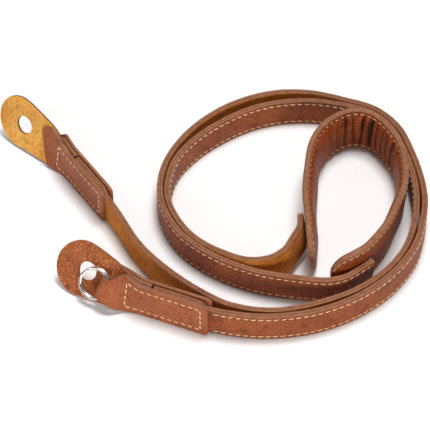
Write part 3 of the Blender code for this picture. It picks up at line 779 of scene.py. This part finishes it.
class EndFrame:
    """Turns flat places of an end into space: along the end, a layer's depth, and height."""

    def __init__(self, name, foot):
        heading, swing, lean, self.side, reach = ENDS[name][:5]
        self.disc_at = FLAP_NECK_AT + FLAP_REACH * reach
        self.along = np.arange(0, self.disc_at + FLAP_RADIUS * 1.5, SPINE_STEP)
        turn = 1 - fade((self.along - TURN_START) / TURN_LENGTH)
        yaw = np.radians(heading + swing * turn)
        self.lean = np.radians(lean) * turn
        climb = 1 - fade((self.along - TAB_LENGTH) / (self.disc_at - TAB_LENGTH))
        half = TAB_WIDTH / 2 + (FLAP_RADIUS - TAB_WIDTH / 2) * climb
        behind = TAB_LAYER + LEATHER / 2
        behind += (-FLAP_LAYER + LEATHER / 2 - behind) * climb
        height = half * np.cos(self.lean) + behind * np.sin(self.lean) + FLOOR_GAP * climb
        plan = np.cumsum(np.column_stack([np.cos(yaw), np.sin(yaw)]), axis=0) * SPINE_STEP
        self.spine = np.column_stack([foot + plan, height])

    def axes(self, along):
        spine = [np.interp(along, self.along, self.spine[:, k]) for k in range(3)]
        ahead = [np.interp(along + SPINE_STEP, self.along, self.spine[:, k])
                 for k in range(3)]
        forward = (Vector(ahead) - Vector(spine)).normalized()
        right = forward.cross(Vector((0, 0, 1))).normalized()
        lean = float(np.interp(along, self.along, self.lean))
        up = right.cross(forward) * math.cos(lean) + right * math.sin(lean)
        return Vector(spine), forward, forward.cross(up) * self.side, up

    def place(self, along, depth, height):
        spine, _, out, up = self.axes(along)
        return spine + out * depth + up * height

    def matrix(self, along, depth, height):
        _, forward, out, up = self.axes(along)
        turn = Matrix((forward, up * self.side, out)).transposed().to_4x4()
        return Matrix.Translation(self.place(along, depth, height)) @ turn


SHARES = [1, 0.93, 0.8, 0.62, 0.42, 0.2, 0, -0.2, -0.42, -0.62, -0.8, -0.93, -1]


def corner(distance, radius):
    if distance >= radius:
        return 0.0
    return radius - math.sqrt(radius ** 2 - (radius - distance) ** 2)


def sheet_piece(name, rows, node, materials, slot):
    """A leather sheet: fine open grid, thickness with its own edge material, rounded edges."""
    count = len(rows[0])
    verts = [tuple(p + ROOT) for row in rows for p in row]
    faces = []
    for r in range(len(rows) - 1):
        for c in range(count - 1):
            faces.append((r * count + c, r * count + c + 1,
                          (r + 1) * count + c + 1, (r + 1) * count + c))
    mesh = bpy.data.meshes.new(name)
    mesh.from_pydata(verts, [], faces)
    mesh.shade_smooth()
    thicken(new_piece(name, mesh, materials, slot, node))


def thicken(ob):
    solid = ob.modifiers.new("thickness", "SOLIDIFY")
    solid.thickness = LEATHER * 1.12
    solid.offset = 0
    solid.use_even_offset = False
    solid.material_offset = 1
    solid.material_offset_rim = 2
    edge = ob.modifiers.new("edge", "BEVEL")
    edge.width = LEATHER * 0.28
    edge.segments = 3
    edge.limit_method = "ANGLE"
    edge.angle_limit = math.radians(50)


def fine_places(start, end, step=0.0008):
    return list(np.linspace(start, end, max(2, int(round((end - start) / step)) + 1)))


def backing_piece(name, end):
    """Square at the strap's end, rounded and cut askew at its free end."""
    far = [BACKING_LENGTH - BACKING_ROUND * share for share in (0.7, 0.45, 0.25, 0.1, 0.03, 0)]
    rows = []
    near = CORNER_PLACES + fine_places(TAB_CORNER, BACKING_LENGTH - BACKING_ROUND)
    for s in near + far:
        half = TAB_WIDTH / 2 - corner(s, TAB_CORNER) - corner(BACKING_LENGTH - s, BACKING_ROUND)
        skew = BACKING_SKEW * (1 - fade((s - TAB_LENGTH) / (BACKING_LENGTH - TAB_LENGTH)))
        rows.append([end.place(s + skew * share, -TAB_LAYER, half * share) for share in SHARES])
    sheet_piece(f"{name}_backing_leather", rows, f"{name}_backing",
                [TAB_SKIN, TAB_SKIN, EDGE], "grain_leather")


def loop_piece(name, end):
    bend = LOOP_REACH - LOOP_RADIUS
    bulged = RING_AT - RING_DIAMETER / 2 - LOOP_CLEARANCE
    radius = LOOP_RADIUS + LEATHER / 2
    axis = RETURN_LAYER + radius
    narrow_from = TAB_LENGTH - TAB_CORNER
    rows = []

    def strip(along, layer, widest):
        slim = 1 - fade((along - narrow_from) / (bend - narrow_from))
        half = widest + (LOOP_WIDTH / 2 - widest) * slim
        return [end.place(along, layer, -LOOP_DROP * slim + half * share) for share in SHARES]

    for s in CORNER_PLACES + fine_places(TAB_CORNER, narrow_from):
        rows.append(strip(s, TAB_LAYER, TAB_WIDTH / 2 - corner(s, TAB_CORNER)))
    for s in fine_places(narrow_from, bend, 0.0006)[1:-1]:
        rise = 1 - fade((s - narrow_from) / (bulged - narrow_from))
        rows.append(strip(s, TAB_LAYER + (axis + radius - TAB_LAYER) * rise, TAB_WIDTH / 2))
    for turn in np.linspace(90, -90, 19):
        angle = math.radians(turn)
        along = bend + radius * math.cos(angle)
        rows.append(strip(along, axis + radius * math.sin(angle), TAB_WIDTH / 2))
    for s in reversed(fine_places(FLAP_NECK_AT - FLAP_TAIL, bend)[:-1]):
        rows.append(strip(s, RETURN_LAYER, FLAP_NECK / 2))
    sheet_piece(f"{name}_loop_leather", rows, f"{name}_loop",
                [TAB_SKIN, TAB_SKIN, EDGE], "grain_leather")


def flap_outline(disc_at):
    """The protector's outline, flat: along and height, from the tail round the disc and back."""
    to_disc = disc_at - FLAP_NECK_AT
    reach = math.hypot(to_disc, FLAP_NECK / 2)
    touch = math.atan2(FLAP_NECK / 2, -to_disc) - math.acos(FLAP_RADIUS / reach)
    tail = FLAP_NECK_AT - FLAP_TAIL
    upper = [(tail, 0.0), (tail, FLAP_NECK / 2), (FLAP_NECK_AT, FLAP_NECK / 2)]
    for angle in np.linspace(touch, 0, 40):
        upper.append((disc_at + FLAP_RADIUS * math.cos(angle), FLAP_RADIUS * math.sin(angle)))
    return upper + [(a, -h) for a, h in reversed(upper[:-1])]


def reach_to(outline, centre, angle):
    """Distance from a centre to the outline in one direction."""
    direction = np.array([math.cos(angle), math.sin(angle)])
    best = 1.0
    for (a0, h0), (a1, h1) in zip(outline, outline[1:] + outline[:1]):
        start = np.array([a0 - centre, h0])
        run = np.array([a1 - a0, h1 - h0])
        cross = direction[0] * run[1] - direction[1] * run[0]
        if abs(cross) < 1e-12:
            continue
        t = (start[0] * run[1] - start[1] * run[0]) / cross
        u = (start[0] * direction[1] - start[1] * direction[0]) / cross
        if t > 0 and -1e-9 <= u <= 1 + 1e-9:
            best = min(best, t)
    return best


def flap_piece(name, end, slot, rim):
    """The protector as rings of points from its hole out to its outline, bent into place."""
    centre = end.disc_at - HOLE_OFFSET
    outline = flap_outline(end.disc_at)
    corners = [math.atan2(h, a - centre) for a, h in outline]
    angles = sorted(set(np.round(list(np.linspace(-math.pi, math.pi, 120, endpoint=False))
                                 + corners[1:3] + corners[-2:], 5)))
    hole = HOLE_DIAMETER / 2
    rings = 26
    verts = []
    for angle in angles:
        far = reach_to(outline, centre, angle)
        for k in range(rings + 1):
            t = k / rings
            r = hole + (far - hole) * t
            place = end.place(centre + r * math.cos(angle), FLAP_LAYER, r * math.sin(angle))
            verts.append(tuple(place + ROOT))
    faces = []
    row = rings + 1
    for i in range(len(angles)):
        n = (i + 1) % len(angles)
        for k in range(rings):
            faces.append((i * row + k, n * row + k, n * row + k + 1, i * row + k + 1))
    mesh = bpy.data.meshes.new(name + "_leather")
    mesh.from_pydata(verts, [], faces)
    mesh.shade_smooth()
    if end.side < 0:
        mesh.flip_normals()
    thicken(new_piece(name + "_leather", mesh, [SUEDE, PEBBLE, rim], slot, name))


def tab_stitch_rows(end):
    """The stitched rectangle on both faces of a tab, as closed rows."""
    rows = []
    for depth in (TAB_LAYER + LEATHER * 0.56, -TAB_LAYER - LEATHER * 0.56):
        sign = 1 if depth > 0 else -1
        for height in (TAB_SEAM_HALF, -TAB_SEAM_HALF):
            points, normals, across = [], [], []
            for s in fine_places(TAB_SEAM_FROM, TAB_SEAM_TO):
                _, _, out, up = end.axes(s)
                points.append(end.place(s, depth, height))
                normals.append(out * sign)
                across.append(up)
            rows.append((points, normals, across))
        for s in (TAB_SEAM_FROM, TAB_SEAM_TO):
            _, forward, out, up = end.axes(s)
            points = [end.place(s, depth, h)
                      for h in np.linspace(-TAB_SEAM_HALF, TAB_SEAM_HALF, 9)]
            rows.append((points, [out * sign] * 9, [forward] * 9))
    return rows


def ring_piece(name, end):
    """Two turns of flattened wire with one step between them and square cut ends."""
    axis = RETURN_LAYER + LOOP_RADIUS + LEATHER / 2
    place = end.matrix(RING_AT, axis, -LOOP_DROP)
    step = 360 / RING_SIDES
    angles = np.arange(1.5 * step, 720 - 1.5 * step + 0.1, 3.0)
    loops = []
    sides = 20
    for turn in angles:
        angle = math.radians(turn - 20)
        climb = 1 - float(fade((turn - 360 + 1.5 * step) / (3 * step)))
        radial = np.array([math.cos(angle), math.sin(angle), 0.0])
        centre = radial * RING_RADIUS
        centre[2] = COIL_PITCH * (climb - 0.5)
        ring = []
        for k in range(sides):
            a = 2 * math.pi * k / sides
            c, s = math.cos(a), math.sin(a)
            wide = math.copysign(abs(c) ** 0.8, c) * RING_WIRE * 0.5
            tall = math.copysign(abs(s) ** 0.7, s) * RING_WIRE * 0.53
            ring.append(place @ Vector(centre + radial * wide + np.array([0, 0, tall])))
        loops.append(ring)
    mesh = loft(name + "_wire", loops, [0] * sides)
    new_piece(name + "_wire", mesh, [NICKEL], "nickel", name)


# The strap

pad = pad_line()
line_b = strap_line("b", STRAP_B_ROUTE, pad, True, None)
line_a = strap_line("a", STRAP_A_ROUTE, pad, False, line_b)

rows_b, along_b = strap_piece("strap_b_grain", line_b, -1, "strap_b_face", BROWN,
                              "grain_leather", 0.00016, 21)
strap_piece("strap_b_nubuck", line_b, 1, "strap_b_back", NUBUCK, "nubuck", 0.00005, 21)
rows_a, along_a = strap_piece("strap_a_grain", line_a, 1, "strap_a_face", BROWN,
                              "grain_leather", 0.00016, 31)
strap_piece("strap_a_nubuck", line_a, -1, "strap_a_back", NUBUCK, "nubuck", 0.00005, 31)
for name, rows, along in (("b", rows_b, along_b), ("a", rows_a, along_a)):
    kept = [trimmed(rows[turn], along, STRAP_IN_TAB + 0.0005, 0.0010) for turn in (1, -1)]
    stitches(f"strap_{name}_stitches", kept)

pad_seams = pad_piece(pad)
stitches("neck_pad_stitches", list(pad_seams.values()), pitch=0.0028, length=0.0022,
         thread=0.00052)

for name, route in (("a", STRAP_A_ROUTE), ("b", STRAP_B_ROUTE)):
    end = EndFrame(name, from_centre(route)[0])
    backing_piece(f"tab_{name}", end)
    loop_piece(f"tab_{name}", end)
    stitches(f"tab_{name}_stitches", tab_stitch_rows(end))
    if name == "a":
        flap_piece("protector_a", end, "suede", DARK_EDGE)
    else:
        flap_piece("protector_b", end, "grain_leather", EDGE)
    ring_piece(f"split_ring_{name}", end)


# Stage, light and camera

def area_light(name, location, target, size, energy):
    data = bpy.data.lights.new(name, "AREA")
    data.shape = "SQUARE"
    data.size = size
    data.energy = energy
    ob = bpy.data.objects.new(name, data)
    bpy.context.scene.collection.objects.link(ob)
    ob.location = location
    ob.rotation_mode = "QUATERNION"
    ob.rotation_quaternion = (Vector(target) - Vector(location)).to_track_quat("-Z", "Y")


def stage_and_camera():
    half = 3.0
    mesh = bpy.data.meshes.new("floor")
    mesh.from_pydata([(-half, -half, 0), (half, -half, 0), (half, half, 0), (-half, half, 0)],
                     [], [(0, 1, 2, 3)])
    s = Shader("pale_floor", 0.9)
    tone = s.noise(0.4, 2.0)
    mesh.materials.append(s.finish(s.mix(tone, (0.97, 0.97, 0.97), (0.98, 0.98, 0.98))))
    floor = bpy.data.objects.new("floor", mesh)
    bpy.context.scene.collection.objects.link(floor)

    world = bpy.data.worlds.new("studio")
    bpy.context.scene.world = world
    world.use_nodes = True
    tree = world.node_tree
    coords = tree.nodes.new("ShaderNodeTexCoord").outputs["Generated"]
    height = tree.nodes.new("ShaderNodeSeparateXYZ")
    tree.links.new(coords, height.inputs["Vector"])
    sky = tree.nodes.new("ShaderNodeMapRange")
    for key, number in (("From Min", 0.05), ("From Max", 0.75),
                        ("To Min", 0.03), ("To Max", 0.26)):
        sky.inputs[key].default_value = number
    tree.links.new(height.outputs["Z"], sky.inputs["Value"])
    background = tree.nodes["Background"]
    background.inputs["Color"].default_value = (1, 1, 1, 1)
    tree.links.new(sky.outputs["Result"], background.inputs["Strength"])
    area_light("top", (0.12, 0.16, 1.20), (0, 0, 0), 0.45, 12.5)
    area_light("front", (0.15, -1.00, 0.24), (0, 0, 0.006), 0.30, 5.6)
    area_light("left", (-0.95, -0.55, 0.60), (0, 0, 0.006), 0.30, 1.6)
    bpy.context.scene.view_settings.view_transform = "Standard"

    elevation = math.radians(48)
    distance = 1.0
    aim = Vector((ROOT.x - 0.031, ROOT.y + 0.0015, 0.0))
    camera = bpy.data.cameras.new("camera")
    camera.sensor_width = SENSOR
    camera.lens = SENSOR * FOCAL_PIXELS / PICTURE_PIXELS
    camera.clip_start = 0.05
    camera.clip_end = 20
    ob = bpy.data.objects.new("camera", camera)
    bpy.context.scene.collection.objects.link(ob)
    back = Vector((0, -math.cos(elevation), math.sin(elevation)))
    ob.location = aim + back * distance
    ob.rotation_mode = "QUATERNION"
    ob.rotation_quaternion = (-back).to_track_quat("-Z", "Y")
    bpy.context.scene.camera = ob


stage_and_camera()
